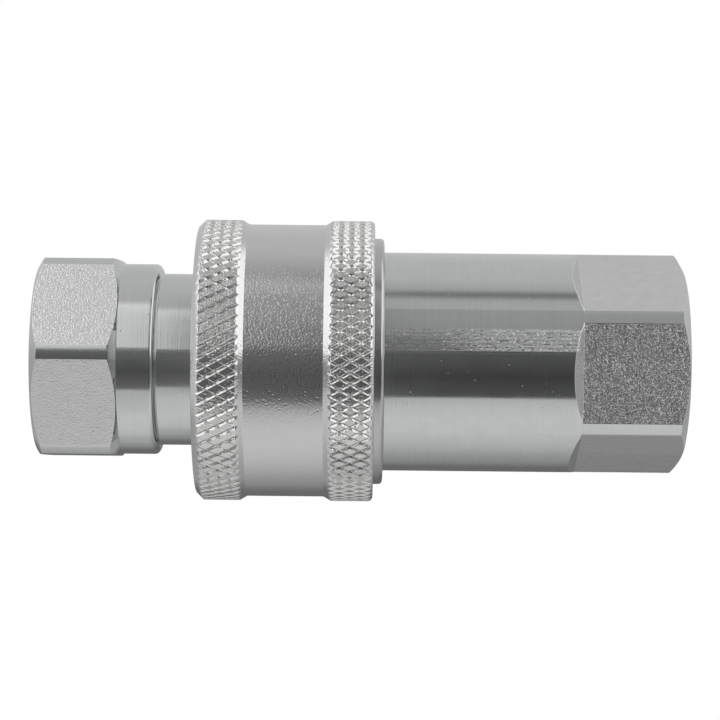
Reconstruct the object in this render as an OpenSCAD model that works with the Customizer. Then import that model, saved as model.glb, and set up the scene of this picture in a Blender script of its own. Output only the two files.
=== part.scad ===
// Hydraulic quick disconnect coupler, 1/2 inch size, with its two halves connected.
// The coupler half is on the right (+X) and the nipple half is on the left (-X).
// The common axis is X, +Z is up, and the origin is on the axis at the middle of the length.
// All sizes are in millimetres. A station (_x) is a place along X, and a radius (_r) is about the axis.

/* [Whole coupler] */
// Length over both hexagons
overall_length = 88.5; // [88:0.1:89]
// Angle of the chamfers at the ends of the hexagons, from the face
hex_chamfer = 30; // [20:1:35]

/* [G 1/2 ports] */
// Inside diameter of the ports' threads
port_minor_d = 18.63; // [18.5:0.01:18.7]
// Depth of each port
port_depth = 16; // [15:0.5:16]
// Diameter of the chamfer at each port's mouth
port_mouth_d = 21.4; // [21:0.1:22]

/* [Nipple] */
// Length of the nipple's hexagon
nipple_hex_length = 11.65; // [11:0.05:12]
// Turn of the nipple's hexagon about the axis
nipple_hex_turn = 3.3; // [0:0.1:60]
// Across flats of the nipple's hexagon
nipple_flats = 26.7; // [26.4:0.1:26.8]
// Diameter of the round bar that the nipple's hexagon is cut from
nipple_bar_d = 29.8; // [29.6:0.1:29.9]
// Diameter of the collar behind the hexagon
collar_d = 26.3; // [26:0.1:26.3]
// Diameter of the probe that enters the socket
probe_d = 23.7; // [23.65:0.05:23.75]
// Diameter at the floor of the ball groove
groove_d = 20.4; // [20.2:0.1:20.4]

/* [Socket] */
// Running clearance of the probe in the socket, on the radius
socket_gap = 0.08; // [0.05:0.01:0.1]
// Outside diameter of the socket barrel
barrel_d = 29.9; // [29.8:0.05:29.9]
// Diameter of the flange that the sleeve's skirt slides on
flange_d = 34; // [33.8:0.1:34]
// Across flats of the coupler's hexagon
coupler_flats = 27; // [26.8:0.1:27.3]
// Diameter of the round bar that the coupler's hexagon is cut from
coupler_bar_d = 30.2; // [30:0.1:30.4]
// Length of the coupler's hexagon at the middle of a flat
coupler_hex_length = 15.75; // [14:0.05:16]
// Turn of the coupler's hexagon about the axis
coupler_hex_turn = 24.4; // [0:0.1:60]

/* [Sleeve] */
// Diameter over the two raised bands
band_d = 38.8; // [38.6:0.1:39]
// Diameter between the bands
waist_d = 37.6; // [37.4:0.1:37.8]
// Length of the sleeve
sleeve_length = 24.2; // [24:0.1:24.4]
// How far the sleeve slides to release the balls
sleeve_travel = 4.5; // [4.4:0.1:4.5]

/* [Locking balls] */
// Number of balls
ball_count = 8; // [6:1:8]
// Diameter of a ball
ball_d = 4.76; // [4.7:0.01:4.76]
// Station of the ring of balls
ball_x = -11.6; // [-11.65:0.05:-11.55]

/* [Hidden] */
$fn = 96;

// Gaps and cutting allowances
fit = 0.05;              // radial gap of a sliding or seated fit
touch = 0.02;            // gap between faces that seat on each other
over = 1;                // how far a cutting solid runs past what it cuts

// Hexagons and ports, at both ends
right_end = overall_length / 2;
left_end = -right_end;
port_r = port_minor_d / 2;
port_mouth_r = port_mouth_d / 2;
mouth_chamfer = port_mouth_r - port_r;

// Nipple, outside
nipple_bar_r = nipple_bar_d / 2;
nipple_face_r = 12.9;    // where the end chamfer meets the end face
nipple_end_chamfer = (nipple_bar_r - nipple_face_r) * tan(hex_chamfer);
collar_r = collar_d / 2;
probe_r = probe_d / 2;
groove_r = groove_d / 2;
hex_back_x = left_end + nipple_hex_length;
hex_back_chamfer = (nipple_bar_r - collar_r) * tan(hex_chamfer);
collar_end_x = -28.2;
neck_start_x = -27.35;
groove_floor = 1.05;     // half width of the floor of the ball groove
groove_flank = probe_r - groove_r;
tip_x = 5.5;
tip_r = 10.7;
tip_chamfer = 1.8;

// Nipple, inside
nipple_bore_r = 9.15;
nipple_chamber_r = 8.4;
nipple_seat_r = 5.9;
nipple_seat_x = tip_x - 0.9;
clip_groove_x = left_end + port_depth + 1.05;
clip_w = 1.0;
clip_r = 9.85;
clip_in_r = 7.9;
nipple_guide_x = clip_groove_x + clip_w + 3 * touch;
guide_w = 1.8;
nipple_chamber_x = nipple_guide_x + guide_w + touch;

// Socket of the coupler half
socket_r = probe_r + socket_gap;
socket_front_x = -22.2;
socket_lead = 0.7;       // chamfer of the socket's mouth
socket_floor_x = 5.7;
barrel_r = barrel_d / 2;
barrel_end_x = 0.4;
flange_r = flange_d / 2;
flange_end_x = 3.2;
flange_corner = 0.55;    // rounding of the flange's back corner
seal_groove_x = -0.5;
seal_groove_end_x = 2.7;
seal_groove_r = 13.9;
coupler_seat_r = 6.2;
coupler_seat_x = socket_floor_x + 1;
coupler_chamber_r = 9.6;
tail_r = 12.85;          // the end of the body that is inside the adapter
tail_end_x = 22;
tail_groove_x = 14;
tail_groove_w = 2.4;
tail_groove_r = 11.4;

// Adapter of the coupler half
coupler_bar_r = coupler_bar_d / 2;
coupler_face_r = 13.2;   // where the end chamfer meets the end face
coupler_end_chamfer = (coupler_bar_r - coupler_face_r) * tan(hex_chamfer);
adapter_x = flange_end_x + touch;
adapter_bore_r = tail_r + fit;
coupler_guide_x = tail_end_x + touch;
adapter_shoulder_x = coupler_guide_x + guide_w + touch;
passage_r = 8.6;
flat_runout = 1.35;      // length of the slope that starts each flat

// Sleeve
sleeve_x = -22.3;
sleeve_end_x = sleeve_x + sleeve_length;
band_r = band_d / 2;
waist_r = waist_d / 2;
front_corner = 0.95;     // chamfer of the front corner
back_corner = 0.65;      // rounding of the back corner
front_band_end_x = -16.4;
waist_x = -15.4;
waist_end_x = -4.85;
back_band_x = -3.85;
snap_recess_r = 16.3;
lip_r = barrel_r + 0.1;  // bore that slides on the barrel
skirt_r = flange_r + fit;
shoulder_x = -9.2;       // shoulder that the sleeve spring pushes on

// Snap ring that stops the sleeve
snap_x = -20.45;
snap_w = 1.0;
snap_in_r = 14.2;
snap_out_r = 15.9;
lip_x = snap_x + snap_w + fit;
lip_end_x = lip_x + 0.95;

// Locking balls: pressed into the nipple's groove, or lifted clear of the probe
ball_r = ball_d / 2;
ball_step = 360 / ball_count;
ball_hole_r = ball_r + 0.07;
ball_throat_r = ball_r - 0.07;  // the hole's narrow end, which keeps the ball in
ball_throat_top = socket_r + 0.4;
locked_r = groove_r + ball_r + fit;
free_r = probe_r + ball_r + 0.08;

// The sleeve's ramp lifts the balls in step with the sleeve and stays 0.03 clear of them
ramp_slope = (free_r - locked_r) / sleeve_travel;
ramp_clear = (ball_r + 0.03) * sqrt(1 + ramp_slope * ramp_slope);
ramp_end_x = ball_x + (ramp_clear - (lip_r - locked_r)) / ramp_slope;
relief_r = free_r + ball_r + 0.12;
ramp_x = ramp_end_x - (relief_r - lip_r) / ramp_slope;

// Poppets, held open by their noses, which meet just in front of the nipple's tip
nose_meet_x = 5.6;
nose_gap = 0.04;
nose_r = 3.3;
nose_chamfer = 0.5;
head_r = 7.4;
head_rim = 1.2;
stem_r = 2.4;
spring_seat_r = 5.6;
spring_seat_depth = 0.4;
seal_station = 2.9;      // place of the seal groove along the sealing cone
seal_depth = 0.3;        // how far the seal's centre lies under the cone
coupler_cone_x = 7.6;
nipple_cone_x = 3.3;
coupler_stem_x = 26;
nipple_stem_x = -26.2;

// Stem guides
guide_bore_r = stem_r + fit;
hub_r = 5.6;
arm_w = 3;
tube_r = 4;              // tube that carries the stem inside the spring
tube_length = 3.8;

// Seals and springs
o_ring_r = 1.0;
body_ring_r = 0.73;
poppet_ring_r = 0.8;
backup_w = 1.0;
sleeve_wire = 1.3;
sleeve_coils = 3.5;
poppet_wire = 0.9;
poppet_spring_r = 4.7;
wire_sides = 10;
coil_steps = 24;         // rings of wire points in one coil
dead_coil = 0.75;        // closed part of a coil at each end of a spring

// Points of a round corner of an outline, from its top at station x and radius r, down to r - drop
function round_corner(x, r, length, drop) =
    [for (a = [0:15:90]) [x + length * sin(a), r - drop + drop * cos(a)]];

// A solid of revolution about X, from a list of [station, radius] points
module turned(profile) {
    rotate([0, 90, 0])
        rotate_extrude()
            polygon([for (p = profile) [p[1], p[0]]]);
}

// A round solid along X
module along_x(x0, x1, r) {
    translate([x0, 0, 0])
        rotate([0, 90, 0])
            cylinder(h = x1 - x0, r = r);
}

// What is milled off a round bar to leave six flats from x0 to x1, each starting with a slope of
// length runout. A corner of the hexagon is turned from -Y towards +Z.
module flat_cuts(x0, x1, runout, turn, bar_r, flats) {
    flat = flats / 2;
    top = bar_r + over;
    slope = runout * (top - flat) / (bar_r - flat);
    for (i = [0:5])
        rotate([-(turn + 30 + 60 * i), 0, 0])
            linear_extrude(2 * bar_r, center = true)
                polygon([[x0, -flat], [x1, -flat], [x1, -top], [x0 - slope, -top]]);
}

// A ring of round section about X
module o_ring(x, ring_r, section_r) {
    translate([x, 0, 0])
        rotate([0, 90, 0])
            rotate_extrude()
                translate([ring_r, 0])
                    circle(r = section_r, $fn = 32);
}

// An open retaining ring with its gap at the bottom
module snap_ring(x, w, in_r, out_r) {
    gap = 0.4 * out_r;
    difference() {
        turned([[x, in_r], [x, out_r], [x + w, out_r], [x + w, in_r]]);
        translate([x - over, -gap / 2, -out_r - over])
            cube([w + 2 * over, gap, out_r]);
    }
}

// A stem guide whose tube points to -X: a rim and a hub joined by three arms, with oil ways
// between them
module valve_guide(x, rim_r, rim_in_r) {
    difference() {
        union() {
            turned([[x, rim_in_r], [x, rim_r], [x + guide_w, rim_r], [x + guide_w, rim_in_r]]);
            along_x(x, x + guide_w, hub_r);
            along_x(x - tube_length, x + guide_w, tube_r);
            for (i = [0:2])
                rotate([120 * i, 0, 0])
                    translate([x, -arm_w / 2, 0])
                        cube([guide_w, arm_w, (rim_in_r + rim_r) / 2]);
        }
        along_x(x - tube_length - over, x + guide_w + over, guide_bore_r);
    }
}

// A poppet whose nose points to -X: nose, sealing cone with a seal groove, rim and stem
module poppet(nose_x, cone_x, stem_x) {
    rim_x = cone_x + head_r - nose_r;
    back_x = rim_x + head_rim;
    seat_x = back_x + spring_seat_depth;
    difference() {
        turned([[nose_x, 0], [nose_x, nose_r - nose_chamfer], [nose_x + nose_chamfer, nose_r],
                [cone_x, nose_r], [rim_x, head_r], [back_x, head_r],
                [back_x, spring_seat_r], [seat_x, spring_seat_r], [seat_x, stem_r],
                [stem_x - nose_chamfer, stem_r], [stem_x, stem_r - nose_chamfer], [stem_x, 0]]);
        poppet_seal(cone_x, poppet_ring_r + touch);
    }
}

// The seal ring of a poppet, or with a larger section its groove
module poppet_seal(cone_x, section_r) {
    o_ring(cone_x + seal_station, nose_r + seal_station - seal_depth, section_r);
}

// Where the back face of a poppet's head takes its spring
function spring_seat_x(cone_x) = cone_x + head_r - nose_r + head_rim + spring_seat_depth;

// The station of a spring's wire after t coils of n, between the faces x0 and x1
function wire_x(t, n, x0, x1, wire) =
    let (first = x0 + wire / 2 + touch, last = x1 - wire / 2 - touch,
         closed = wire / 2, live = (t - dead_coil) / (n - 2 * dead_coil))
    t < dead_coil ? first + closed * t / dead_coil
    : t > n - dead_coil ? last - closed * (n - t) / dead_coil
    : first + closed + (last - first - 2 * closed) * live;

// A coil spring along X with closed ends, between the faces x0 and x1
module coil_spring(x0, x1, mean_r, wire, coils) {
    rings = round(coils * coil_steps);
    points = [for (i = [0:rings], s = [0:wire_sides - 1])
        let (t = i / coil_steps, around = 360 * s / wire_sides,
             r = mean_r + wire / 2 * cos(around))
        [wire_x(t, coils, x0, x1, wire) + wire / 2 * sin(around), r * cos(360 * t), r * sin(360 * t)]];
    skin = [for (i = [0:rings - 1], s = [0:wire_sides - 1])
        let (here = i * wire_sides, ahead = here + wire_sides, next = (s + 1) % wire_sides)
        [here + s, here + next, ahead + next, ahead + s]];
    cap = [for (s = [0:wire_sides - 1]) s];
    last_cap = [for (s = cap) rings * wire_sides + wire_sides - 1 - s];
    polyhedron(points, concat([cap], [for (f = skin) [f[3], f[2], f[1], f[0]]], [last_cap]));
}

// Socket, flange and tail of the coupler half
module coupler_body() {
    color("silver")
        difference() {
            turned(concat(
                [[socket_front_x, socket_r + socket_lead], [socket_front_x, barrel_r],
                 [snap_x - fit, barrel_r], [snap_x - fit, snap_in_r - fit],
                 [snap_x + snap_w + fit, snap_in_r - fit], [snap_x + snap_w + fit, barrel_r],
                 [barrel_end_x, barrel_r], [barrel_end_x, flange_r]],
                round_corner(flange_end_x - flange_corner, flange_r, flange_corner, flange_corner),
                [[flange_end_x, tail_r],
                 [tail_groove_x, tail_r], [tail_groove_x, tail_groove_r],
                 [tail_groove_x + tail_groove_w, tail_groove_r], [tail_groove_x + tail_groove_w, tail_r],
                 [tail_end_x, tail_r], [tail_end_x, coupler_chamber_r],
                 [coupler_seat_x + coupler_chamber_r - coupler_seat_r, coupler_chamber_r],
                 [coupler_seat_x, coupler_seat_r], [socket_floor_x, coupler_seat_r],
                 [socket_floor_x, socket_r],
                 [seal_groove_end_x, socket_r], [seal_groove_end_x, seal_groove_r],
                 [seal_groove_x, seal_groove_r], [seal_groove_x, socket_r],
                 [socket_front_x + socket_lead, socket_r]]));
            for (i = [1:ball_count])
                ball_hole(ball_step * (i - 1));
        }
}

// A hole that a locking ball moves in, narrower at its inner end
module ball_hole(angle) {
    rotate([angle, 0, 0])
        translate([ball_x, 0, 0]) {
            translate([0, 0, ball_throat_top])
                cylinder(h = barrel_r, r = ball_hole_r);
            translate([0, 0, socket_r])
                cylinder(h = ball_throat_top - socket_r, r1 = ball_throat_r, r2 = ball_hole_r);
            translate([0, 0, socket_r - over])
                cylinder(h = over, r = ball_throat_r);
        }
}

// Rear cylinder, hexagon and port of the coupler half
module coupler_adapter() {
    color("gainsboro")
        difference() {
            turned([[adapter_x, adapter_bore_r], [adapter_x, coupler_bar_r],
                    [right_end - coupler_end_chamfer, coupler_bar_r], [right_end, coupler_face_r],
                    [right_end, port_mouth_r], [right_end - mouth_chamfer, port_r],
                    [right_end - port_depth, port_r], [right_end - port_depth, passage_r],
                    [adapter_shoulder_x, passage_r], [adapter_shoulder_x, adapter_bore_r]]);
            flat_cuts(right_end - coupler_hex_length + flat_runout, right_end + over,
                      flat_runout, coupler_hex_turn, coupler_bar_r, coupler_flats);
        }
}

module body_o_ring() {
    color("black")
        o_ring(tail_groove_x + tail_groove_w / 2, tail_groove_r + body_ring_r + touch, body_ring_r);
}

module interface_o_ring() {
    color("black")
        o_ring(seal_groove_end_x - o_ring_r - touch, probe_r + o_ring_r + touch, o_ring_r);
}

module backup_ring() {
    color("white")
        turned([[seal_groove_x + touch, socket_r], [seal_groove_x + touch, seal_groove_r - touch],
                [seal_groove_x + backup_w, seal_groove_r - touch], [seal_groove_x + backup_w, socket_r]]);
}

module sleeve_snap_ring() {
    color("dimgray")
        snap_ring(snap_x, snap_w, snap_in_r, snap_out_r);
}

module coupler_valve_guide() {
    color("darkgray")
        valve_guide(coupler_guide_x, tail_r, coupler_chamber_r);
}

module coupler_poppet() {
    color("lightgray")
        poppet(nose_meet_x + nose_gap / 2, coupler_cone_x, coupler_stem_x);
}

module coupler_poppet_seal() {
    color("black")
        poppet_seal(coupler_cone_x, poppet_ring_r);
}

module coupler_poppet_spring() {
    color("slategray")
        coil_spring(spring_seat_x(coupler_cone_x), coupler_guide_x, poppet_spring_r, poppet_wire, 4.5);
}

// Locking sleeve: two raised bands outside; snap ring recess, lip, relief, ramp and skirt inside
module sleeve() {
    color("silver")
        turned(concat(
            [[sleeve_x, snap_recess_r], [sleeve_x, band_r - front_corner],
             [sleeve_x + front_corner, band_r], [front_band_end_x, band_r],
             [waist_x, waist_r], [waist_end_x, waist_r], [back_band_x, band_r]],
            round_corner(sleeve_end_x - back_corner, band_r, back_corner, back_corner),
            [[sleeve_end_x, skirt_r], [shoulder_x, skirt_r], [shoulder_x, lip_r],
             [ramp_end_x, lip_r], [ramp_x, relief_r], [lip_end_x, relief_r],
             [lip_end_x, lip_r], [lip_x, lip_r], [lip_x, snap_recess_r]]));
}

module sleeve_spring() {
    color("slategray")
        coil_spring(shoulder_x, barrel_end_x, (barrel_r + skirt_r) / 2, sleeve_wire, sleeve_coils);
}

module locking_ball(angle) {
    color("lightsteelblue")
        rotate([angle, 0, 0])
            translate([ball_x, 0, locked_r])
                sphere(r = ball_r);
}

// Hexagon, collar, neck and probe of the nipple, with its port, valve chamber and seat
module nipple_body() {
    color("gainsboro")
        difference() {
            turned(concat(
                [[left_end, port_mouth_r], [left_end, nipple_face_r],
                 [left_end + nipple_end_chamfer, nipple_bar_r],
                 [hex_back_x - hex_back_chamfer, nipple_bar_r], [hex_back_x, collar_r]],
                round_corner(collar_end_x, collar_r, neck_start_x - collar_end_x, collar_r - probe_r),
                [[ball_x - groove_floor - groove_flank, probe_r], [ball_x - groove_floor, groove_r],
                 [ball_x + groove_floor, groove_r], [ball_x + groove_floor + groove_flank, probe_r],
                 [tip_x - tip_chamfer, probe_r], [tip_x, tip_r],
                 [tip_x, nipple_seat_r], [nipple_seat_x, nipple_seat_r],
                 [nipple_seat_x - nipple_chamber_r + nipple_seat_r, nipple_chamber_r],
                 [nipple_chamber_x, nipple_chamber_r], [nipple_chamber_x, nipple_bore_r],
                 [clip_groove_x + clip_w + 2 * touch, nipple_bore_r],
                 [clip_groove_x + clip_w + 2 * touch, clip_r + fit],
                 [clip_groove_x - 2 * touch, clip_r + fit], [clip_groove_x - 2 * touch, nipple_bore_r],
                 [left_end + port_depth, nipple_bore_r], [left_end + port_depth, port_r],
                 [left_end + mouth_chamfer, port_r]]));
            flat_cuts(left_end - over, hex_back_x, 0, nipple_hex_turn, nipple_bar_r, nipple_flats);
        }
}

module nipple_poppet() {
    color("lightgray")
        mirror([1, 0, 0])
            poppet(-nose_meet_x + nose_gap / 2, -nipple_cone_x, -nipple_stem_x);
}

module nipple_poppet_seal() {
    color("black")
        mirror([1, 0, 0])
            poppet_seal(-nipple_cone_x, poppet_ring_r);
}

module nipple_poppet_spring() {
    color("slategray")
        coil_spring(nipple_guide_x + guide_w, -spring_seat_x(-nipple_cone_x), poppet_spring_r, poppet_wire, 8.5);
}

module nipple_valve_guide() {
    color("darkgray")
        mirror([1, 0, 0])
            valve_guide(-nipple_guide_x - guide_w, nipple_bore_r - fit, nipple_bore_r - 1.5);
}

module nipple_snap_ring() {
    color("dimgray")
        snap_ring(clip_groove_x, clip_w, clip_in_r, clip_r);
}

coupler_body();
coupler_adapter();
body_o_ring();
interface_o_ring();
backup_ring();
sleeve_snap_ring();
coupler_valve_guide();
coupler_poppet();
coupler_poppet_seal();
coupler_poppet_spring();
sleeve();
sleeve_spring();
for (i = [1:ball_count])
    locking_ball(ball_step * (i - 1));
nipple_body();
nipple_poppet();
nipple_poppet_seal();
nipple_poppet_spring();
nipple_valve_guide();
nipple_snap_ring();
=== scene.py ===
import math

import bmesh
import bpy
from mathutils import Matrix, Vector


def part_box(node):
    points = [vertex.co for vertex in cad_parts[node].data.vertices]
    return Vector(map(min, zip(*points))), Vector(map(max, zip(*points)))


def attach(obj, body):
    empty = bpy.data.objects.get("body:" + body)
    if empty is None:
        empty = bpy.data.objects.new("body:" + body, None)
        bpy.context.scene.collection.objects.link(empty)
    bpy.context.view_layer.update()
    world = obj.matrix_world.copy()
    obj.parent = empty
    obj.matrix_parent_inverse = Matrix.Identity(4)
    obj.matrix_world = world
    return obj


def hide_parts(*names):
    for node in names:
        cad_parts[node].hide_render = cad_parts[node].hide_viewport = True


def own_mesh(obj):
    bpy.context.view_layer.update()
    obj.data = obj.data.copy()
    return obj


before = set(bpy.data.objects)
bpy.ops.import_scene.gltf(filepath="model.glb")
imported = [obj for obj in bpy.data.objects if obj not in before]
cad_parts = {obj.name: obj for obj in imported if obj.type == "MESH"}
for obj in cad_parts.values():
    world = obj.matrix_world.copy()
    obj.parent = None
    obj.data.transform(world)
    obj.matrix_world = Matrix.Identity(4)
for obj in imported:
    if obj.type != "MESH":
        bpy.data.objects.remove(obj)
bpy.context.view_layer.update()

# Sizes are in millimetres until a mesh is made. A station is a place along X, a radius is about
# the X axis, and an angle about that axis starts at -Y, the camera's side, and grows towards +Z.
MM = 0.001
FULL_TURN = 2 * math.pi


def box_mm(node):
    """Lowest and highest corner of a CAD node, in millimetres."""
    low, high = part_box(node)
    return low / MM, high / MM


LEFT_END = box_mm("nipple_body")[0].x
TIP_X = box_mm("nipple_body")[1].x
ADAPTER_X = box_mm("coupler_adapter")[0].x
RIGHT_END = box_mm("coupler_adapter")[1].x
SLEEVE_X = box_mm("sleeve")[0].x
SLEEVE_END_X = box_mm("sleeve")[1].x
BAND_R = box_mm("sleeve")[1].z

# Ports
PORT_R = 9.315
PORT_MOUTH_R = 10.7
PORT_DEPTH = 16.0
PORT_PLAIN = 1.0      # the plain inner end of a port, which an outline draws and a thread doesn't
THREAD_PITCH = 25.4 / 14
THREAD_DEPTH = 1.16
THREAD_BOTTOM = 0.1   # half widths of the thread's groove, at its bottom and at its mouth, in pitches
THREAD_MOUTH = 0.4
THREAD_FADE = 1.2     # how many pitches the thread takes to die out
RUNOUT_DEPTH = 14.2

# Nipple
HEX_BACK_X = -32.6
COLLAR_R = 13.15
COLLAR_END_X = -28.2
NECK_X = -27.35
PROBE_R = 11.85
BALL_X = -11.6
GROOVE_R = 10.2
GROOVE_FLOOR = 1.05
TIP_R = 10.7
TIP_CHAMFER = 1.8

# Adapter
FLAT_X = 29.85
FLAT_SLOPE = 1.35

# Sleeve
WAIST_R = 18.8
RIM_R = BAND_R - 1.5  # where the outlines of the outside and the inside meet on the end faces
FRONT_CORNER = 0.95
BACK_CORNER = 0.65
FRONT_BAND_END_X = -16.4
WAIST_X = -15.4
WAIST_END_X = -4.85
BACK_BAND_X = -3.85
KNURL_STARTS = 80
KNURL_HELIX = math.radians(28.5)
KNURL_PITCH = FULL_TURN * BAND_R / KNURL_STARTS
KNURL_LEAD = KNURL_PITCH / math.tan(KNURL_HELIX)
GROOVE_FLANK = math.radians(40)
FRONT_GROOVES = (0.05, 0.195)   # half widths of the grooves that run down and up, in groove pitches
BACK_GROOVES = (0.165, 0.185)
KNURL_RUNOUT = 0.35   # how far the grooves run on past the edges of a band
ROUND_RUNOUT = 0.45   # and how far into its rounded corner
FRONT_KNURL = (SLEEVE_X + FRONT_CORNER - KNURL_RUNOUT, FRONT_BAND_END_X + KNURL_RUNOUT)
BACK_KNURL = (BACK_BAND_X - KNURL_RUNOUT, SLEEVE_END_X - BACK_CORNER + ROUND_RUNOUT)
GROOVE_REACH = 0.35   # how far down from the tips the knurl has its own material

EDGE = 0.07           # how far the rounding of an edge reaches
SEAM = 0.06           # gap that a strip of triangles closes between two skins
SHARP_ANGLE = math.radians(32)   # a larger angle between two faces is shaded as an edge


# ---------------------------------------------------------------- meshes

def polar(x, r, angle):
    """The point at a station, a radius and an angle."""
    return Vector((x, -r * math.cos(angle), r * math.sin(angle)))


def angle_of(vert):
    """The angle of a vertex about the axis, from 0 to a full turn."""
    return math.atan2(vert.co.z, -vert.co.y) % FULL_TURN


def even_angles(count):
    """Angles spread evenly round a full turn."""
    return [FULL_TURN * i / count for i in range(count)]


def soften(points, reach=EDGE):
    """An outline with each of its inner corners rounded, over a length of reach along both sides."""
    made = [points[0]]
    for before, here, after in zip(points, points[1:], points[2:]):
        ends = []
        for other in (before, after):
            dx, dr = other[0] - here[0], other[1] - here[1]
            length = max(math.hypot(dx, dr), 1e-9)
            share = min(reach / length, 0.45)
            ends.append((here[0] + dx * share, here[1] + dr * share))
        middle = tuple((ends[0][k] + 2 * here[k] + ends[1][k]) / 4 for k in (0, 1))
        made += [ends[0], middle, ends[1]]
    return made + [points[-1]]


def skin(bm, angles, outline):
    """Adds a surface about the axis. outline(angle) lists its (station, radius) points at an angle, always
    the same number of them. Returns the first and last rings of vertices."""
    columns = [[bm.verts.new(polar(x, r, a)) for x, r in outline(a)] for a in angles]
    for here, ahead in zip(columns, columns[1:] + columns[:1]):
        for i in range(len(here) - 1):
            bm.faces.new((here[i], here[i + 1], ahead[i + 1], ahead[i]))
    return [c[0] for c in columns], [c[-1] for c in columns]


def zip_rings(bm, first, second):
    """Joins two rings of vertices about the axis, which may differ in number, with a strip of triangles."""
    first, second = sorted(first, key=angle_of), sorted(second, key=angle_of)
    n, m = len(first), len(second)
    i = j = 0
    while i < n or j < m:
        next_first = angle_of(first[(i + 1) % n]) + FULL_TURN * ((i + 1) // n)
        next_second = angle_of(second[(j + 1) % m]) + FULL_TURN * ((j + 1) // m)
        if j == m or (i < n and next_first <= next_second):
            bm.faces.new((first[i % n], first[(i + 1) % n], second[j % m]))
            i += 1
        else:
            bm.faces.new((first[i % n], second[(j + 1) % m], second[j % m]))
            j += 1


def everything(bm):
    return bm.verts[:] + bm.edges[:] + bm.faces[:]


def shape_strip(strip, x_low, x_high, rings, radius_at):
    """Trims a strip on a cylinder to its stations, adds rings of vertices, and then moves each vertex to
    radius_at(station, angle)."""
    for x, outward in ((x_low, -1), (x_high, 1)):
        bmesh.ops.bisect_plane(strip, geom=everything(strip), dist=1e-5, plane_co=(x, 0, 0),
                               plane_no=(outward, 0, 0), clear_outer=True)
    for x in rings:
        bmesh.ops.bisect_plane(strip, geom=everything(strip), dist=1e-5, plane_co=(x, 0, 0),
                               plane_no=(1, 0, 0))
    for vert in strip.verts:
        angle = angle_of(vert)
        vert.co = polar(vert.co.x, radius_at(vert.co.x, angle), angle)


def add_strip(bm, strip):
    """Moves a strip into a mesh and returns its rings at its lowest and highest station."""
    held = bpy.data.meshes.new("strip")
    strip.to_mesh(held)
    strip.free()
    known = len(bm.verts)
    bm.from_mesh(held)
    bpy.data.meshes.remove(held)
    bm.verts.ensure_lookup_table()
    rim = [v for v in bm.verts[known:] if any(e.is_boundary for e in v.link_edges)]
    middle = (min(v.co.x for v in rim) + max(v.co.x for v in rim)) / 2
    return [v for v in rim if v.co.x < middle], [v for v in rim if v.co.x > middle]


def finish_mesh(bm, name, body, nodes, materials, pick=lambda x, r, angle: 0):
    """A smooth-shaded piece, in metres, from a closed mesh in millimetres. It rides on a body, stands for
    CAD nodes, and pick(station, radius, angle) says which of its materials a face has."""
    bmesh.ops.recalc_face_normals(bm, faces=bm.faces[:])
    for face in bm.faces:
        middle = face.calc_center_median()
        face.smooth = True
        r, angle = math.hypot(middle.y, middle.z), math.atan2(middle.z, -middle.y)
        face.material_index = pick(middle.x, r, angle)
    bmesh.ops.scale(bm, vec=(MM, MM, MM), verts=bm.verts[:])
    mesh = bpy.data.meshes.new(name)
    bm.to_mesh(mesh)
    bm.free()
    mesh.set_sharp_from_angle(angle=SHARP_ANGLE)
    piece = bpy.data.objects.new(name, mesh)
    bpy.context.scene.collection.objects.link(piece)
    for material in materials:
        mesh.materials.append(material)
    piece.modifiers.new("weighted normals", "WEIGHTED_NORMAL").keep_sharp = True
    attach(piece, body)
    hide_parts(*nodes)
    return piece


# ---------------------------------------------------------------- threads

def thread_strip(x_face, x_low, x_high):
    """The skin of a port, on a grid that follows a right-handed helix and is wider than x_low to x_high."""
    rows = [0, 0.5 - THREAD_MOUTH, 0.5 - THREAD_BOTTOM, 0.5, 0.5 + THREAD_BOTTOM, 0.5 + THREAD_MOUTH]
    columns = 96
    strip = bmesh.new()
    verts = {}

    def vert(column, row):
        key = (column % columns, row - len(rows) * (column // columns))
        if key not in verts:
            around = key[0] / columns
            turns = key[1] // len(rows) + rows[key[1] % len(rows)] - around
            verts[key] = strip.verts.new(polar(x_face + THREAD_PITCH * turns, PORT_R, FULL_TURN * around))
        return verts[key]

    first = math.floor((x_low - x_face) / THREAD_PITCH) - 1
    last = math.ceil((x_high - x_face) / THREAD_PITCH) + 2
    for column in range(columns):
        for row in range(first * len(rows), last * len(rows)):
            strip.faces.new((vert(column, row), vert(column + 1, row),
                             vert(column + 1, row + 1), vert(column, row + 1)))
    return strip


def thread_radius(x, angle, x_face):
    """Radius of a port: its thread dies out at the inner end, and a chamfer opens its mouth."""
    depth = abs(x - x_face)
    place = (x - x_face) / THREAD_PITCH + angle / FULL_TURN
    share = min(1.0, max(0.0, (THREAD_MOUTH - abs(place % 1 - 0.5)) / (THREAD_MOUTH - THREAD_BOTTOM)))
    fade = min(1.0, max(0.0, (RUNOUT_DEPTH - depth) / (THREAD_FADE * THREAD_PITCH)))
    return max(PORT_R + THREAD_DEPTH * share * fade, PORT_MOUTH_R - depth)


def add_port(bm, x_face, inward, mouth_ring, inner_ring):
    """Adds a threaded port between a ring round its mouth and one inside it. inward is +1 or -1 along X."""
    x_low, x_high = sorted((x_face, x_face + inward * (PORT_DEPTH - PORT_PLAIN)))
    strip = thread_strip(x_face, x_low, x_high)
    shape_strip(strip, x_low, x_high, [], lambda x, angle: thread_radius(x, angle, x_face))
    low_ring, high_ring = add_strip(bm, strip)
    mouth, inner = (low_ring, high_ring) if inward > 0 else (high_ring, low_ring)
    zip_rings(bm, mouth, mouth_ring)
    zip_rings(bm, inner, inner_ring)


# ---------------------------------------------------------------- hexagons

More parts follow.
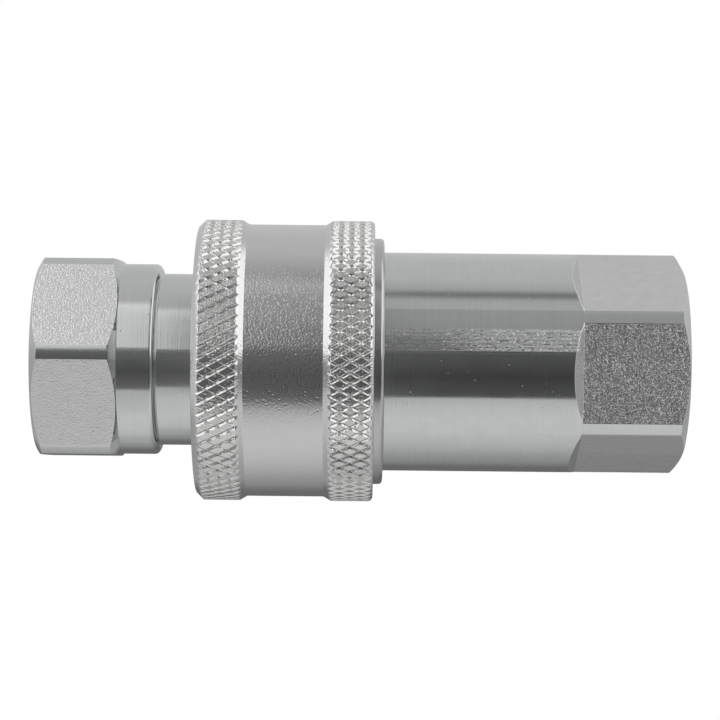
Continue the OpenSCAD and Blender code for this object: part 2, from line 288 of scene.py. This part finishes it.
class Hexagon:
    """Six flats milled on a round bar, with a chamfer at each end. turn is the angle of the first corner, and
    face_r is the radius at which the chamfer meets the end face."""

    CHAMFER = math.radians(30)

    def __init__(self, bar_r, half_flat, face_r, turn):
        self.bar_r = bar_r
        self.half_flat = half_flat
        self.face_r = face_r
        self.turn = turn
        self.corner_start = math.acos(half_flat / bar_r)

    def flat(self, number):
        """Angle of the middle of a flat. Flat 0 is the one after the first corner."""
        return self.turn + math.pi * (1 / 6 + number / 3)

    def from_flat(self, angle):
        """Angle from the middle of the nearest flat."""
        return (angle - self.turn) % (math.pi / 3) - math.pi / 6

    def radius(self, angle):
        return min(self.bar_r, self.half_flat / math.cos(self.from_flat(angle)))

    def chamfer_length(self, r, end_r):
        """Length along X of a chamfer that rises from radius end_r to r."""
        return (r - end_r) * math.tan(self.CHAMFER)

    def angles(self):
        """Angles for a skin: a pair rounds each edge between a flat and a corner strip."""
        edge = math.radians(0.25)
        offsets = [-math.pi / 6, -self.corner_start - edge, -self.corner_start + edge]
        offsets += [math.radians(a) for a in range(-24, 25, 3)]
        offsets += [self.corner_start - edge, self.corner_start + edge]
        return [self.turn + math.pi * (1 / 6 + k / 3) + o for k in range(6) for o in offsets]

    def on_flat(self, r, angle):
        """Whether a point of the skin is on a flat, and not on a corner strip or a chamfer."""
        near = 0.05
        return abs(self.from_flat(angle)) < self.corner_start and r > self.radius(angle) - near


NIPPLE_HEX = Hexagon(14.9, 13.35, 12.9, math.radians(3.3))
COUPLER_HEX = Hexagon(15.1, 13.5, 13.2, math.radians(24.4))


def collar_corner():
    """The rounded shoulder from the collar down to the neck."""
    length, drop = NECK_X - COLLAR_END_X, COLLAR_R - PROBE_R
    turns = [math.radians(a) for a in range(0, 91, 15)]
    return [(COLLAR_END_X + length * math.sin(a), COLLAR_R - drop * (1 - math.cos(a))) for a in turns]


def nipple_outline(angle):
    """Outline of the nipple body from its end face, over the outside, and back in through the bore."""
    r = NIPPLE_HEX.radius(angle)
    flank = PROBE_R - GROOVE_R
    port_end = LEFT_END + PORT_DEPTH
    clip_x, guide_x = port_end + 1.01, port_end + 2.09
    chamber_x = port_end + 3.93
    bore_r, clip_r, chamber_r, seat_r = 9.15, 9.9, 8.4, 5.9
    seat_x = TIP_X - 0.9
    return soften([
        (LEFT_END, PORT_MOUTH_R + SEAM), (LEFT_END, NIPPLE_HEX.face_r),
        (LEFT_END + NIPPLE_HEX.chamfer_length(r, NIPPLE_HEX.face_r), r),
        (HEX_BACK_X - NIPPLE_HEX.chamfer_length(r, COLLAR_R), r), (HEX_BACK_X, COLLAR_R), *collar_corner(),
        (BALL_X - GROOVE_FLOOR - flank, PROBE_R), (BALL_X - GROOVE_FLOOR, GROOVE_R),
        (BALL_X + GROOVE_FLOOR, GROOVE_R), (BALL_X + GROOVE_FLOOR + flank, PROBE_R),
        (TIP_X - TIP_CHAMFER, PROBE_R), (TIP_X, TIP_R), (TIP_X, seat_r), (seat_x, seat_r),
        (seat_x - chamber_r + seat_r, chamber_r), (chamber_x, chamber_r), (chamber_x, bore_r),
        (guide_x, bore_r), (guide_x, clip_r), (clip_x, clip_r), (clip_x, bore_r),
        (port_end, bore_r), (port_end, PORT_R), (port_end - PORT_PLAIN + SEAM, PORT_R)])


def adapter_outline(angle):
    """Outline of the adapter from its end face, over the outside, and back out through the bore."""
    r, bar_r = COUPLER_HEX.radius(angle), COUPLER_HEX.bar_r
    cut = bar_r * math.cos(COUPLER_HEX.from_flat(angle)) - COUPLER_HEX.half_flat
    slope = FLAT_SLOPE * cut / (bar_r - COUPLER_HEX.half_flat)
    port_end = RIGHT_END - PORT_DEPTH
    bore_r, passage_r, shoulder_x = 12.9, 8.6, 23.86
    return soften([
        (RIGHT_END, PORT_MOUTH_R + SEAM), (RIGHT_END, COUPLER_HEX.face_r),
        (RIGHT_END - COUPLER_HEX.chamfer_length(r, COUPLER_HEX.face_r), r), (FLAT_X, r),
        (FLAT_X - max(slope, SEAM), bar_r), (ADAPTER_X, bar_r), (ADAPTER_X, bore_r),
        (shoulder_x, bore_r), (shoulder_x, passage_r), (port_end, passage_r), (port_end, PORT_R),
        (port_end + PORT_PLAIN - SEAM, PORT_R)])


def hex_body(name, hexagon, outline, x_face, inward, flat_length, body, node, materials):
    """A body with a hexagon and a threaded port at one end. Its materials are for the turned surface and
    for the flats, which reach flat_length from the end face."""
    bm = bmesh.new()
    mouth_ring, inner_ring = skin(bm, hexagon.angles(), outline)
    add_port(bm, x_face, inward, mouth_ring, inner_ring)

    def pick(x, r, angle):
        return 1 if abs(x - x_face) < flat_length and hexagon.on_flat(r, angle) else 0

    return finish_mesh(bm, name, body, [node], materials, pick)


# ---------------------------------------------------------------- sleeve

def outline_radius(outline, x):
    """Radius of an outline at a station. Its stations only grow."""
    for (x0, r0), (x1, r1) in zip(outline, outline[1:]):
        if x0 <= x <= x1 and x1 > x0:
            return r0 + (r1 - r0) * (x - x0) / (x1 - x0)
    return outline[-1][1]


def outline_part(outline, x_low, x_high):
    """The part of an outline between two stations."""
    inner = [p for p in outline if x_low < p[0] < x_high]
    return [(x_low, outline_radius(outline, x_low)), *inner, (x_high, outline_radius(outline, x_high))]


def knurl_strip(x_low, x_high, grooves):
    """A cylinder's skin whose grid follows both crossing families of grooves, wider than x_low to x_high."""
    down_lines, up_lines = ([0, width, 0.5, 1 - width] for width in grooves)
    count = len(down_lines)
    around = KNURL_STARTS * count
    reach = math.ceil((x_high - x_low) / KNURL_LEAD + 0.5) * count
    middle = (x_low + x_high) / 2
    strip = bmesh.new()
    verts = {}

    def vert(p_line, q_line):
        full = p_line // around * around
        key = (p_line - full, q_line - full)
        if key not in verts:
            p, q = (k // count + lines[k % count] for k, lines in zip(key, (down_lines, up_lines)))
            angle = KNURL_PITCH * (p + q) / 2 / BAND_R
            verts[key] = strip.verts.new(polar(middle + KNURL_LEAD * (p - q) / 2, BAND_R, angle))
        return verts[key]

    for p_line in range(around):
        for q_line in range(p_line - reach, p_line + reach):
            strip.faces.new((vert(p_line, q_line), vert(p_line + 1, q_line),
                             vert(p_line + 1, q_line + 1), vert(p_line, q_line + 1)))
    return strip


def add_knurl(bm, outline, band, grooves):
    """Adds a knurled band under an outline and returns its end rings. In front view the grooves of one family
    run down towards +X and those of the other run up. Their half widths are in groove pitches."""
    x_low, x_high = band
    down_width, up_width = grooves
    middle = (x_low + x_high) / 2
    steepness = KNURL_PITCH * math.cos(KNURL_HELIX) * math.tan(GROOVE_FLANK)

    def radius_at(x, angle):
        turn, along = angle * BAND_R / KNURL_PITCH, (x - middle) / KNURL_LEAD
        inside = max(width - abs(place - round(place))
                     for width, place in ((up_width, turn - along), (down_width, turn + along)))
        return min(outline_radius(outline, x), BAND_R - steepness * max(inside, 0.0))

    strip = knurl_strip(x_low, x_high, grooves)
    near = 0.01
    rings = [x for x, _ in outline if x_low + near < x < x_high - near]
    shape_strip(strip, x_low, x_high, rings, radius_at)
    return add_strip(bm, strip)


def sleeve_outside():
    """Outline of the outside of the sleeve, from one end face to the other."""
    corner = [(SLEEVE_END_X - BACK_CORNER * (1 - math.cos(a)), BAND_R - BACK_CORNER * (1 - math.sin(a)))
              for a in (math.radians(degrees) for degrees in range(90, -1, -15))]
    return soften([
        (SLEEVE_X, RIM_R), (SLEEVE_X, BAND_R - FRONT_CORNER), (SLEEVE_X + FRONT_CORNER, BAND_R),
        (FRONT_BAND_END_X, BAND_R), (WAIST_X, WAIST_R), (WAIST_END_X, WAIST_R), (BACK_BAND_X, BAND_R),
        *corner, (SLEEVE_END_X, RIM_R)])


def sleeve_inside():
    """Outline of the inside of the sleeve, from its back face to its front face."""
    recess_r, lip_r, relief_r, skirt_r = 16.3, 15.05, 16.8, 17.05
    lip_x, lip_end_x, ramp_x, ramp_end_x, shoulder_x = -19.4, -18.45, -15.85, -11.17, -9.2
    return soften([
        (SLEEVE_END_X, RIM_R), (SLEEVE_END_X, skirt_r), (shoulder_x, skirt_r), (shoulder_x, lip_r),
        (ramp_end_x, lip_r), (ramp_x, relief_r), (lip_end_x, relief_r), (lip_end_x, lip_r),
        (lip_x, lip_r), (lip_x, recess_r), (SLEEVE_X, recess_r), (SLEEVE_X, RIM_R)])


def sleeve(materials):
    """The locking sleeve, with a diamond knurl on both of its raised bands."""
    outside, inside = sleeve_outside(), sleeve_inside()
    bm = bmesh.new()
    front_low, front_high = add_knurl(bm, outside, FRONT_KNURL, FRONT_GROOVES)
    back_low, back_high = add_knurl(bm, outside, BACK_KNURL, BACK_GROOVES)
    angles = even_angles(2 * KNURL_STARTS)
    waist = outline_part(outside, FRONT_KNURL[1] + SEAM, BACK_KNURL[0] - SEAM)
    waist_low, waist_high = skin(bm, angles, lambda angle: waist)
    front = [p for p in outside if p[0] < FRONT_KNURL[0] - SEAM]
    back = [p for p in outside if p[0] > BACK_KNURL[1] + SEAM]
    around = back + inside[1:-1] + front
    rest_start, rest_end = skin(bm, angles, lambda angle: around)
    zip_rings(bm, front_high, waist_low)
    zip_rings(bm, waist_high, back_low)
    zip_rings(bm, back_high, rest_start)
    zip_rings(bm, rest_end, front_low)

    def pick(x, r, angle):
        on_band = x < FRONT_KNURL[1] or x > BACK_KNURL[0]
        return 1 if on_band and r > BAND_R - GROOVE_REACH else 0

    return finish_mesh(bm, "locking_sleeve", "sleeve", ["sleeve"], materials, pick)


# ---------------------------------------------------------------- springs

def coil_spring(name, node, body, coils, wire, material):
    """A coil spring with closed ends in the room of its CAD node."""
    low, high = box_mm(node)
    mean_r = high.z - wire / 2
    steps, sides, dead = 40, 14, 0.75
    first, last = low.x + wire / 2, high.x - wire / 2
    bm = bmesh.new()
    rings = []
    for i in range(round(coils * steps) + 1):
        t = i / steps
        if t < dead:
            x = first + wire / 2 * t / dead
        elif t > coils - dead:
            x = last - wire / 2 * (coils - t) / dead
        else:
            x = first + wire / 2 + (last - first - wire) * (t - dead) / (coils - 2 * dead)
        turn = FULL_TURN * t
        ring = []
        for s in range(sides):
            around = FULL_TURN * s / sides
            r = mean_r + wire / 2 * math.cos(around)
            place = (x + wire / 2 * math.sin(around), r * math.cos(turn), r * math.sin(turn))
            ring.append(bm.verts.new(place))
        rings.append(ring)
    for here, ahead in zip(rings, rings[1:]):
        for s in range(sides):
            bm.faces.new((here[s], here[(s + 1) % sides], ahead[(s + 1) % sides], ahead[s]))
    bm.faces.new(rings[0])
    bm.faces.new(rings[-1][::-1])
    piece = finish_mesh(bm, name, body, [node], [material])
    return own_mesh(piece)


# ---------------------------------------------------------------- materials

def add_node(tree, kind, inputs=None, **settings):
    """Adds a node. inputs gives its sockets, by name or number, a value or another node's output."""
    node = tree.nodes.new(kind)
    for name, value in settings.items():
        setattr(node, name, value)
    for name, value in (inputs or {}).items():
        if isinstance(value, bpy.types.NodeSocket):
            tree.links.new(value, node.inputs[name])
        else:
            node.inputs[name].default_value = value
    return node


def calculate(tree, operation, a, b=0.0):
    """The output of a math node."""
    return add_node(tree, "ShaderNodeMath", {0: a, 1: b}, operation=operation).outputs[0]


def smooth_range(tree, value, from_low, from_high, to_low=0.0, to_high=1.0):
    """Maps a range to another smoothly, with the ends held."""
    return add_node(tree, "ShaderNodeMapRange", {
        "Value": value, "From Min": from_low, "From Max": from_high, "To Min": to_low, "To Max": to_high},
        interpolation_type="SMOOTHSTEP").outputs[0]


def mix_colours(tree, share, first, second):
    """Mixes two colours. A mix node's colours are its sockets 6 and 7, and its output 2."""
    return add_node(tree, "ShaderNodeMix", {0: share, 6: first, 7: second}, data_type="RGBA").outputs[2]


def grey(value):
    return (value, value, value, 1)


def scaled(colour, factor):
    return [factor * part for part in colour]


class Surface:
    """A procedural material that is being made. Its methods add nodes and return their output."""

    def __init__(self, name, metallic, roughness):
        self.material = bpy.data.materials.new(name)
        self.material.use_nodes = True
        self.tree = self.material.node_tree
        self.shader = self.tree.nodes["Principled BSDF"]
        self.shader.inputs["Metallic"].default_value = metallic
        self.shader.inputs["Roughness"].default_value = roughness
        self.place = add_node(self.tree, "ShaderNodeTexCoord").outputs["Object"]
        self.normal = None

    def math(self, operation, a, b=0.0):
        return calculate(self.tree, operation, a, b)

    def noise(self, along, across, detail=2.0, offset=0.0):
        """Noise whose grain has a length along X and another across it, in millimetres."""
        stretched = add_node(self.tree, "ShaderNodeMapping", {
            "Vector": self.place, "Location": (offset, offset, offset),
            "Scale": (1 / (along * MM), 1 / (across * MM), 1 / (across * MM))})
        return add_node(self.tree, "ShaderNodeTexNoise", {
            "Vector": stretched.outputs[0], "Scale": 1.0, "Detail": detail}).outputs["Fac"]

    def cells(self, size):
        """Random grey per cell of a size in millimetres, and the distance to the cell's centre."""
        stretched = add_node(self.tree, "ShaderNodeMapping", {
            "Vector": self.place, "Scale": (1 / (size * MM),) * 3})
        voronoi = add_node(self.tree, "ShaderNodeTexVoronoi", {
            "Vector": stretched.outputs[0], "Scale": 1.0})
        shade = add_node(self.tree, "ShaderNodeSeparateColor", {0: voronoi.outputs["Color"]}).outputs[0]
        return shade, voronoi.outputs["Distance"]

    def spread(self, value, from_low, from_high, to_low=0.0, to_high=1.0):
        return smooth_range(self.tree, value, from_low, from_high, to_low, to_high)

    def bump(self, height, depth):
        """Adds relief of a depth in millimetres on top of what is there."""
        inputs = {"Height": height, "Distance": depth * MM, "Strength": 1.0}
        if self.normal is not None:
            inputs["Normal"] = self.normal
        self.normal = add_node(self.tree, "ShaderNodeBump", inputs).outputs[0]

    def colour(self, factor, dark, light):
        """Colours the surface between two colours."""
        mixed = mix_colours(self.tree, factor, (*dark, 1), (*light, 1))
        self.tree.links.new(mixed, self.shader.inputs["Base Color"])

    def roughness(self, value):
        self.tree.links.new(value, self.shader.inputs["Roughness"])

    def finish(self):
        if self.normal is not None:
            self.tree.links.new(self.normal, self.shader.inputs["Normal"])
        return self.material

    def coordinates(self):
        return add_node(self.tree, "ShaderNodeSeparateXYZ", {0: self.place}).outputs

    def angle(self):
        """The angle about the X axis, in radians, from -Y towards +Z."""
        x, y, z = self.coordinates()
        return self.math("ARCTAN2", z, self.math("MULTIPLY", y, -1.0))

    def off_angle(self, angle):
        """The cosine of the angle that lies between the surface's place and another one."""
        return self.math("COSINE", self.math("SUBTRACT", self.angle(), angle))

    def along(self):
        """The station, in millimetres."""
        x, y, z = self.coordinates()
        return self.math("MULTIPLY", x, 1 / MM)

    def radius(self):
        """The distance from the X axis, in millimetres."""
        x, y, z = self.coordinates()
        squares = self.math("ADD", self.math("MULTIPLY", y, y), self.math("MULTIPLY", z, z))
        return self.math("MULTIPLY", self.math("SQRT", squares), 1 / MM)


def chatter(surface, x_start, x_full, x_end):
    """Fine steps along X, as a chattering lathe tool leaves, in patches round the axis that grow between two
    stations and stop at a third. The bore inside stays clean."""
    patch_count, patch_angle, step_count, stop_length = 3, math.radians(11.4), 180, 0.3
    angle = surface.angle()
    steps = surface.math("FRACT", surface.math("MULTIPLY", angle, -step_count / FULL_TURN))
    turned = surface.math("MULTIPLY", angle, patch_count)
    waves = surface.math("COSINE", surface.math("SUBTRACT", turned, patch_count * patch_angle))
    here = surface.spread(waves, 0.944, 0.964)
    for share in (surface.spread(surface.along(), x_start, x_full, 0.1, 1.0),
                  surface.spread(surface.along(), x_end, x_end + stop_length, 1.0, 0.0),
                  surface.spread(surface.radius(), PORT_MOUTH_R, COUPLER_HEX.half_flat),
                  surface.spread(surface.noise(0.8, 0.3, 2.0), 0.35, 0.62, 0.2, 1.4)):
        here = surface.math("MULTIPLY", here, share)
    return surface.math("MULTIPLY", steps, here)


def turned_zinc(name, light, roughness, with_chatter=False):
    """Zinc-plated turned steel: faint rings from the tool, small pits, and a soft cloudy plating."""
    made = Surface(name, 1.0, roughness)
    shade, distance = made.cells(0.45)
    pits = made.math("MULTIPLY", made.spread(distance, 0.0, 0.25, -1.0, 0.0), made.spread(shade, 0.95, 0.97))
    clouds = made.noise(3.0, 2.0, 3.0, offset=7.0)
    rings = made.noise(0.25, 12.0, 3.0)
    made.bump(rings, 0.002)
    made.bump(made.noise(1.2, 0.12, 2.0, offset=4.0), 0.002)
    made.bump(pits, 0.02)
    if with_chatter:
        made.bump(chatter(made, x_start=8.0, x_full=21.0, x_end=29.2), 0.1)
    ringed_clouds = made.math("MULTIPLY", made.spread(rings, 0.3, 0.6, 0.6, 1.0), clouds)
    made.colour(ringed_clouds, scaled(light, 0.92), scaled(light, 1.04))
    made.roughness(made.spread(clouds, 0.3, 0.7, 0.85 * roughness, 1.15 * roughness))
    return made.finish()


def milled_zinc(name, light, grain, relief, roughness, facing, other_relief, other_flats_painted_shade=1.0,
                under_edge_painted_light=1.0, under_bottom_painted_shade=1.0):
    """Zinc-plated milled flats: a sparkling grain of facets. Flats that don't face an angle have a share of
    the relief, and a share of the brightness, which is painted shade. The brightness of the flat underneath
    also goes from one share at its edge to another at the bottom, a painted shade."""
    bottom = math.radians(-95)
    made = Surface(name, 1.0, roughness)
    faces = made.off_angle(facing)
    painted_shade_under_place = made.off_angle(bottom)
    grained = made.spread(faces, 0.85, 0.89, other_relief, 1.0)
    made.bump(made.math("MULTIPLY", made.noise(grain, grain, 2.0), grained), relief)
    # The colour is a random tone, darkened by painted shade on the flats that don't face the angle and on the
    # flat underneath.
    tone_and_painted_shade = made.spread(made.noise(1.5, 1.2, 3.0, offset=5.0), 0.0, 1.0, 0.9, 1.0)
    for share in (made.spread(faces, 0.85, 0.89, other_flats_painted_shade, 1.0),
                  # Painted shade on the flat underneath: lighter at its edge, darker towards its bottom.
                  made.spread(painted_shade_under_place, 0.52, 0.56, 1.0, under_edge_painted_light),
                  made.spread(painted_shade_under_place, 0.56, 1.0, 1.0, under_bottom_painted_shade / under_edge_painted_light)):
        tone_and_painted_shade = made.math("MULTIPLY", tone_and_painted_shade, share)
    made.colour(tone_and_painted_shade, (0, 0, 0), light)
    return made.finish()


def satin_zinc(name, light, relief, grain, roughness):
    """Satin zinc plating of the sleeve: many small dimples, fine grain, faint rings and clouds."""
    made = Surface(name, 1.0, roughness)
    shade, distance = made.cells(0.42)
    dimples = made.math("MULTIPLY", made.spread(distance, 0.0, 0.5, -1.0, 0.0), made.spread(shade, 0.3, 1.0))
    clouds = made.noise(2.5, 1.6, 3.0, offset=9.0)
    made.bump(dimples, relief)
    made.bump(made.noise(0.28, 0.28, 1.0), grain)
    made.bump(made.noise(0.1, 5.0, 2.0, offset=2.0), 0.001)
    made.colour(clouds, scaled(light, 0.96), light)
    made.roughness(made.spread(clouds, 0.3, 0.7, 0.96 * roughness, 1.04 * roughness))
    return made.finish()


def plain_metal(name, light, roughness, grain):
    """Bright bare steel with a fine grain and faint marks."""
    made = Surface(name, 1.0, roughness)
    fine = made.noise(grain, 8 * grain, 2.0)
    made.bump(fine, 0.001)
    made.colour(made.noise(1.5, 1.5), scaled(light, 0.85), light)
    made.roughness(made.spread(fine, 0.3, 0.7, 0.8 * roughness, 1.2 * roughness))
    return made.finish()


def polymer(name, dark, light, roughness):
    """Rubber or PTFE, with a fine moulded or cut texture."""
    made = Surface(name, 0.0, roughness)
    fine = made.noise(0.15, 0.3, 3.0)
    made.bump(fine, 0.004)
    made.colour(fine, dark, light)
    made.roughness(made.spread(fine, 0.3, 0.7, 0.9 * roughness, 1.1 * roughness))
    return made.finish()


# ---------------------------------------------------------------- studio

def ramp(tree, value, stops):
    """A colour ramp of greys. Its stops are (angle in degrees, brightness), from -180 to 180."""
    node = add_node(tree, "ShaderNodeValToRGB", {0: value})
    elements = node.color_ramp.elements
    elements.remove(elements[1])
    for i, (degrees, brightness) in enumerate(stops):
        place = (degrees + 180) / 360
        element = elements[0] if i == 0 else elements.new(place)
        element.position = place
        element.color = grey(brightness)
    return node.outputs[0]


def panels(tree, place):
    """The soft panels that different parts of the metal see, as ramps over the angle about the X axis: the
    nipple's, the sleeve's waist's, the adapter's, and what lies far to the sides."""
    behind = [(-180, 0.3), (-172, 0.15), (-144, 0.18)]
    below = behind + [(-128, 0.33), (-115, 0.41), (-104, 0.52), (-94, 0.6), (-77, 0.7), (-62, 0.72)]
    above = [(172, 0.6), (180, 0.45)]
    left = ramp(tree, place, behind + [
        (-128, 0.38), (-115, 0.5), (-104, 0.62), (-94, 0.7), (-77, 0.72), (-62, 0.63), (-47, 0.58),
        (-37.5, 0.57), (-36.5, 0.15), (-15, 0.08), (4, 0.13), (9.5, 0.17), (11.5, 0.78), (20, 0.82),
        (50, 0.84), (67, 0.95), (74, 0.57), (150, 0.6)] + above)
    waist = ramp(tree, place, below + [
        (-50, 0.63), (-43, 0.43), (-37.5, 0.31), (-31.5, 0.2), (-26, 0.165), (-16, 0.15), (-6, 0.17),
        (5, 0.19), (14.5, 0.14), (25, 0.11), (35, 0.14), (41, 0.2), (52, 0.21), (57.5, 0.26), (63.5, 0.36),
        (69.5, 0.44), (76, 0.42), (82, 0.4), (89, 0.46), (104, 0.6), (150, 0.64)] + above)
    right = ramp(tree, place, below + [
        (-47, 0.66), (-37.5, 0.57), (-36.5, 0.1), (-15, 0.06), (4, 0.1), (9, 0.1), (11.5, 0.21), (26, 0.24),
        (32, 0.36), (54, 0.4), (59, 0.51), (67.5, 0.49), (72.5, 0.28), (75, 0.21), (77.5, 0.28), (82, 0.48),
        (97, 0.59), (150, 0.62)] + above)
    far_sides = ramp(tree, place, [
        (-180, 0.45), (-144, 0.38), (-115, 0.43), (-85, 0.62), (-60, 0.7), (-38, 0.6), (-30, 0.3),
        (-10, 0.25), (4, 0.35), (9, 1.3), (112, 1.25), (124, 0.62)] + above)
    return left, waist, right, far_sides


def studio():
    """A white room to the camera. The metal sees soft panels above, below and behind the camera, with a dark
    gap between them, in angles about the X axis from -Y towards +Z. Along X they change from one part's
    panel to the next at the directions that those parts reflect."""
    world = bpy.data.worlds.new("studio")
    bpy.context.scene.world = world
    world.use_nodes = True
    tree = world.node_tree
    direction = add_node(tree, "ShaderNodeTexCoord").outputs["Generated"]
    x, y, z = add_node(tree, "ShaderNodeSeparateXYZ", {0: direction}).outputs
    turn = calculate(tree, "ARCTAN2", z, calculate(tree, "MULTIPLY", y, -1.0))
    place = add_node(tree, "ShaderNodeMapRange", {
        "Value": turn, "From Min": -math.pi, "From Max": math.pi}).outputs[0]
    left, waist, right, far_sides = panels(tree, place)
    seen = waist
    for edge, width, panel in ((-0.235, 0.045, left), (-0.078, 0.018, waist), (-0.004, 0.008, right)):
        seen = mix_colours(tree, smooth_range(tree, x, edge, edge + width), seen, panel)
    endwise = calculate(tree, "ABSOLUTE", x)
    seen = mix_colours(tree, smooth_range(tree, endwise, 0.32, 0.46), seen, far_sides)
    seen = mix_colours(tree, smooth_range(tree, endwise, 0.88, 0.95), seen, grey(0.65))
    camera_ray = add_node(tree, "ShaderNodeLightPath").outputs["Is Camera Ray"]
    tree.links.new(mix_colours(tree, camera_ray, seen, grey(1.0)), tree.nodes["Background"].inputs["Color"])


def floor():
    """A plain pale floor, well below the coupler. Its sizes are in metres."""
    depth, half = 0.12, 0.45
    bm = bmesh.new()
    bmesh.ops.create_circle(bm, cap_ends=True, radius=half, segments=96)
    mesh = bpy.data.meshes.new("floor")
    bm.to_mesh(mesh)
    bm.free()
    made = bpy.data.objects.new("floor", mesh)
    made.location.z = -depth
    bpy.context.scene.collection.objects.link(made)
    paint = Surface("floor_paint", 0.0, 0.8)
    paint.colour(paint.noise(60, 60), (0.93, 0.93, 0.93), (0.96, 0.96, 0.96))
    mesh.materials.append(paint.finish())
    made.visible_glossy = False
    made.visible_shadow = False


def camera():
    """The photograph's viewpoint: level, square to the axis, and turned a little about the line of sight.
    Distances are in metres."""
    distance, height, tilt = 0.335, 0.00017, math.radians(-0.59)
    data = bpy.data.cameras.new("camera")
    data.lens = 120.7
    data.sensor_width = 36
    data.clip_start = 0.01
    made = bpy.data.objects.new("camera", data)
    made.location = (0, -distance, height)
    made.rotation_euler = (math.pi / 2, tilt, 0)
    bpy.context.scene.collection.objects.link(made)
    bpy.context.scene.camera = made


# ---------------------------------------------------------------- assembly

bpy.context.scene.view_settings.view_transform = "Standard"
camera()
studio()
floor()

ZINC = (0.70, 0.71, 0.715)
turned = turned_zinc("turned_zinc", ZINC, 0.1)
drawn = turned_zinc("drawn_zinc", ZINC, 0.09, with_chatter=True)
# The coupler body's zinc is a darker, rougher copy of the turned zinc. Its darker colour is painted shade
# from the sleeve beside it.
painted_shade_zinc = turned_zinc("flange_zinc_painted_shade", (0.58, 0.58, 0.58), 0.16)
# The nipple's flats that don't face flat 0 are painted darker, a painted shade.
nipple_flats = milled_zinc("bright_milled_zinc_painted_shade", (0.96, 0.96, 0.955), grain=0.25, relief=0.11, roughness=0.22,
                           facing=NIPPLE_HEX.flat(0), other_relief=0.55, other_flats_painted_shade=0.75)
# The adapter's flat underneath is painted lighter at its edge and darker at its bottom, a painted shade.
adapter_flats = milled_zinc("grained_milled_zinc_painted_shade", (0.78, 0.78, 0.78), grain=0.33, relief=0.16, roughness=0.2,
                            facing=COUPLER_HEX.flat(-1), other_relief=0.3, under_edge_painted_light=1.25, under_bottom_painted_shade=0.95)
satin = satin_zinc("satin_zinc", (0.71, 0.71, 0.715), relief=0.021, grain=0.015, roughness=0.15)
knurled = satin_zinc("knurled_zinc", (0.76, 0.76, 0.75), relief=0.05, grain=0.03, roughness=0.18)
bright_steel = plain_metal("turned_steel", (0.62, 0.61, 0.6), roughness=0.25, grain=0.06)
spring_wire = plain_metal("spring_steel", (0.42, 0.42, 0.43), roughness=0.3, grain=0.2)
ball_steel = plain_metal("ball_steel", (0.75, 0.75, 0.76), roughness=0.08, grain=0.5)
rubber = polymer("seal_rubber", (0.012, 0.012, 0.013), (0.03, 0.03, 0.03), roughness=0.55)
ptfe = polymer("ptfe", (0.75, 0.75, 0.73), (0.85, 0.85, 0.84), roughness=0.45)

hex_body("nipple", NIPPLE_HEX, nipple_outline, x_face=LEFT_END, inward=1, flat_length=HEX_BACK_X - LEFT_END,
         body="nipple", node="nipple_body", materials=[turned, nipple_flats])
hex_body("adapter", COUPLER_HEX, adapter_outline, x_face=RIGHT_END, inward=-1, flat_length=RIGHT_END - FLAT_X,
         body="coupler", node="coupler_adapter", materials=[drawn, adapter_flats])
sleeve([satin, knurled])

coil_spring("sleeve_coil", "sleeve_spring", "sleeve_spring", coils=3.5, wire=1.3,
            material=spring_wire)
coil_spring("coupler_poppet_coil", "coupler_poppet_spring", "coupler", coils=4.5, wire=0.9,
            material=spring_wire)
coil_spring("nipple_poppet_coil", "nipple_poppet_spring", "nipple", coils=8.5, wire=0.9,
            material=spring_wire)

NODE_MATERIALS = {
    "coupler_body": painted_shade_zinc, "sleeve_snap_ring": spring_wire, "nipple_snap_ring": spring_wire,
    "coupler_valve_guide": bright_steel, "nipple_valve_guide": bright_steel,
    "coupler_poppet": bright_steel, "nipple_poppet": bright_steel,
    "body_o_ring": rubber, "interface_o_ring": rubber, "backup_ring": ptfe,
    "coupler_poppet_seal": rubber, "nipple_poppet_seal": rubber,
}
for name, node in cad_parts.items():
    material = ball_steel if name.startswith("locking_ball") else NODE_MATERIALS.get(name)
    if material is not None:
        node.data.materials.clear()
        node.data.materials.append(material)
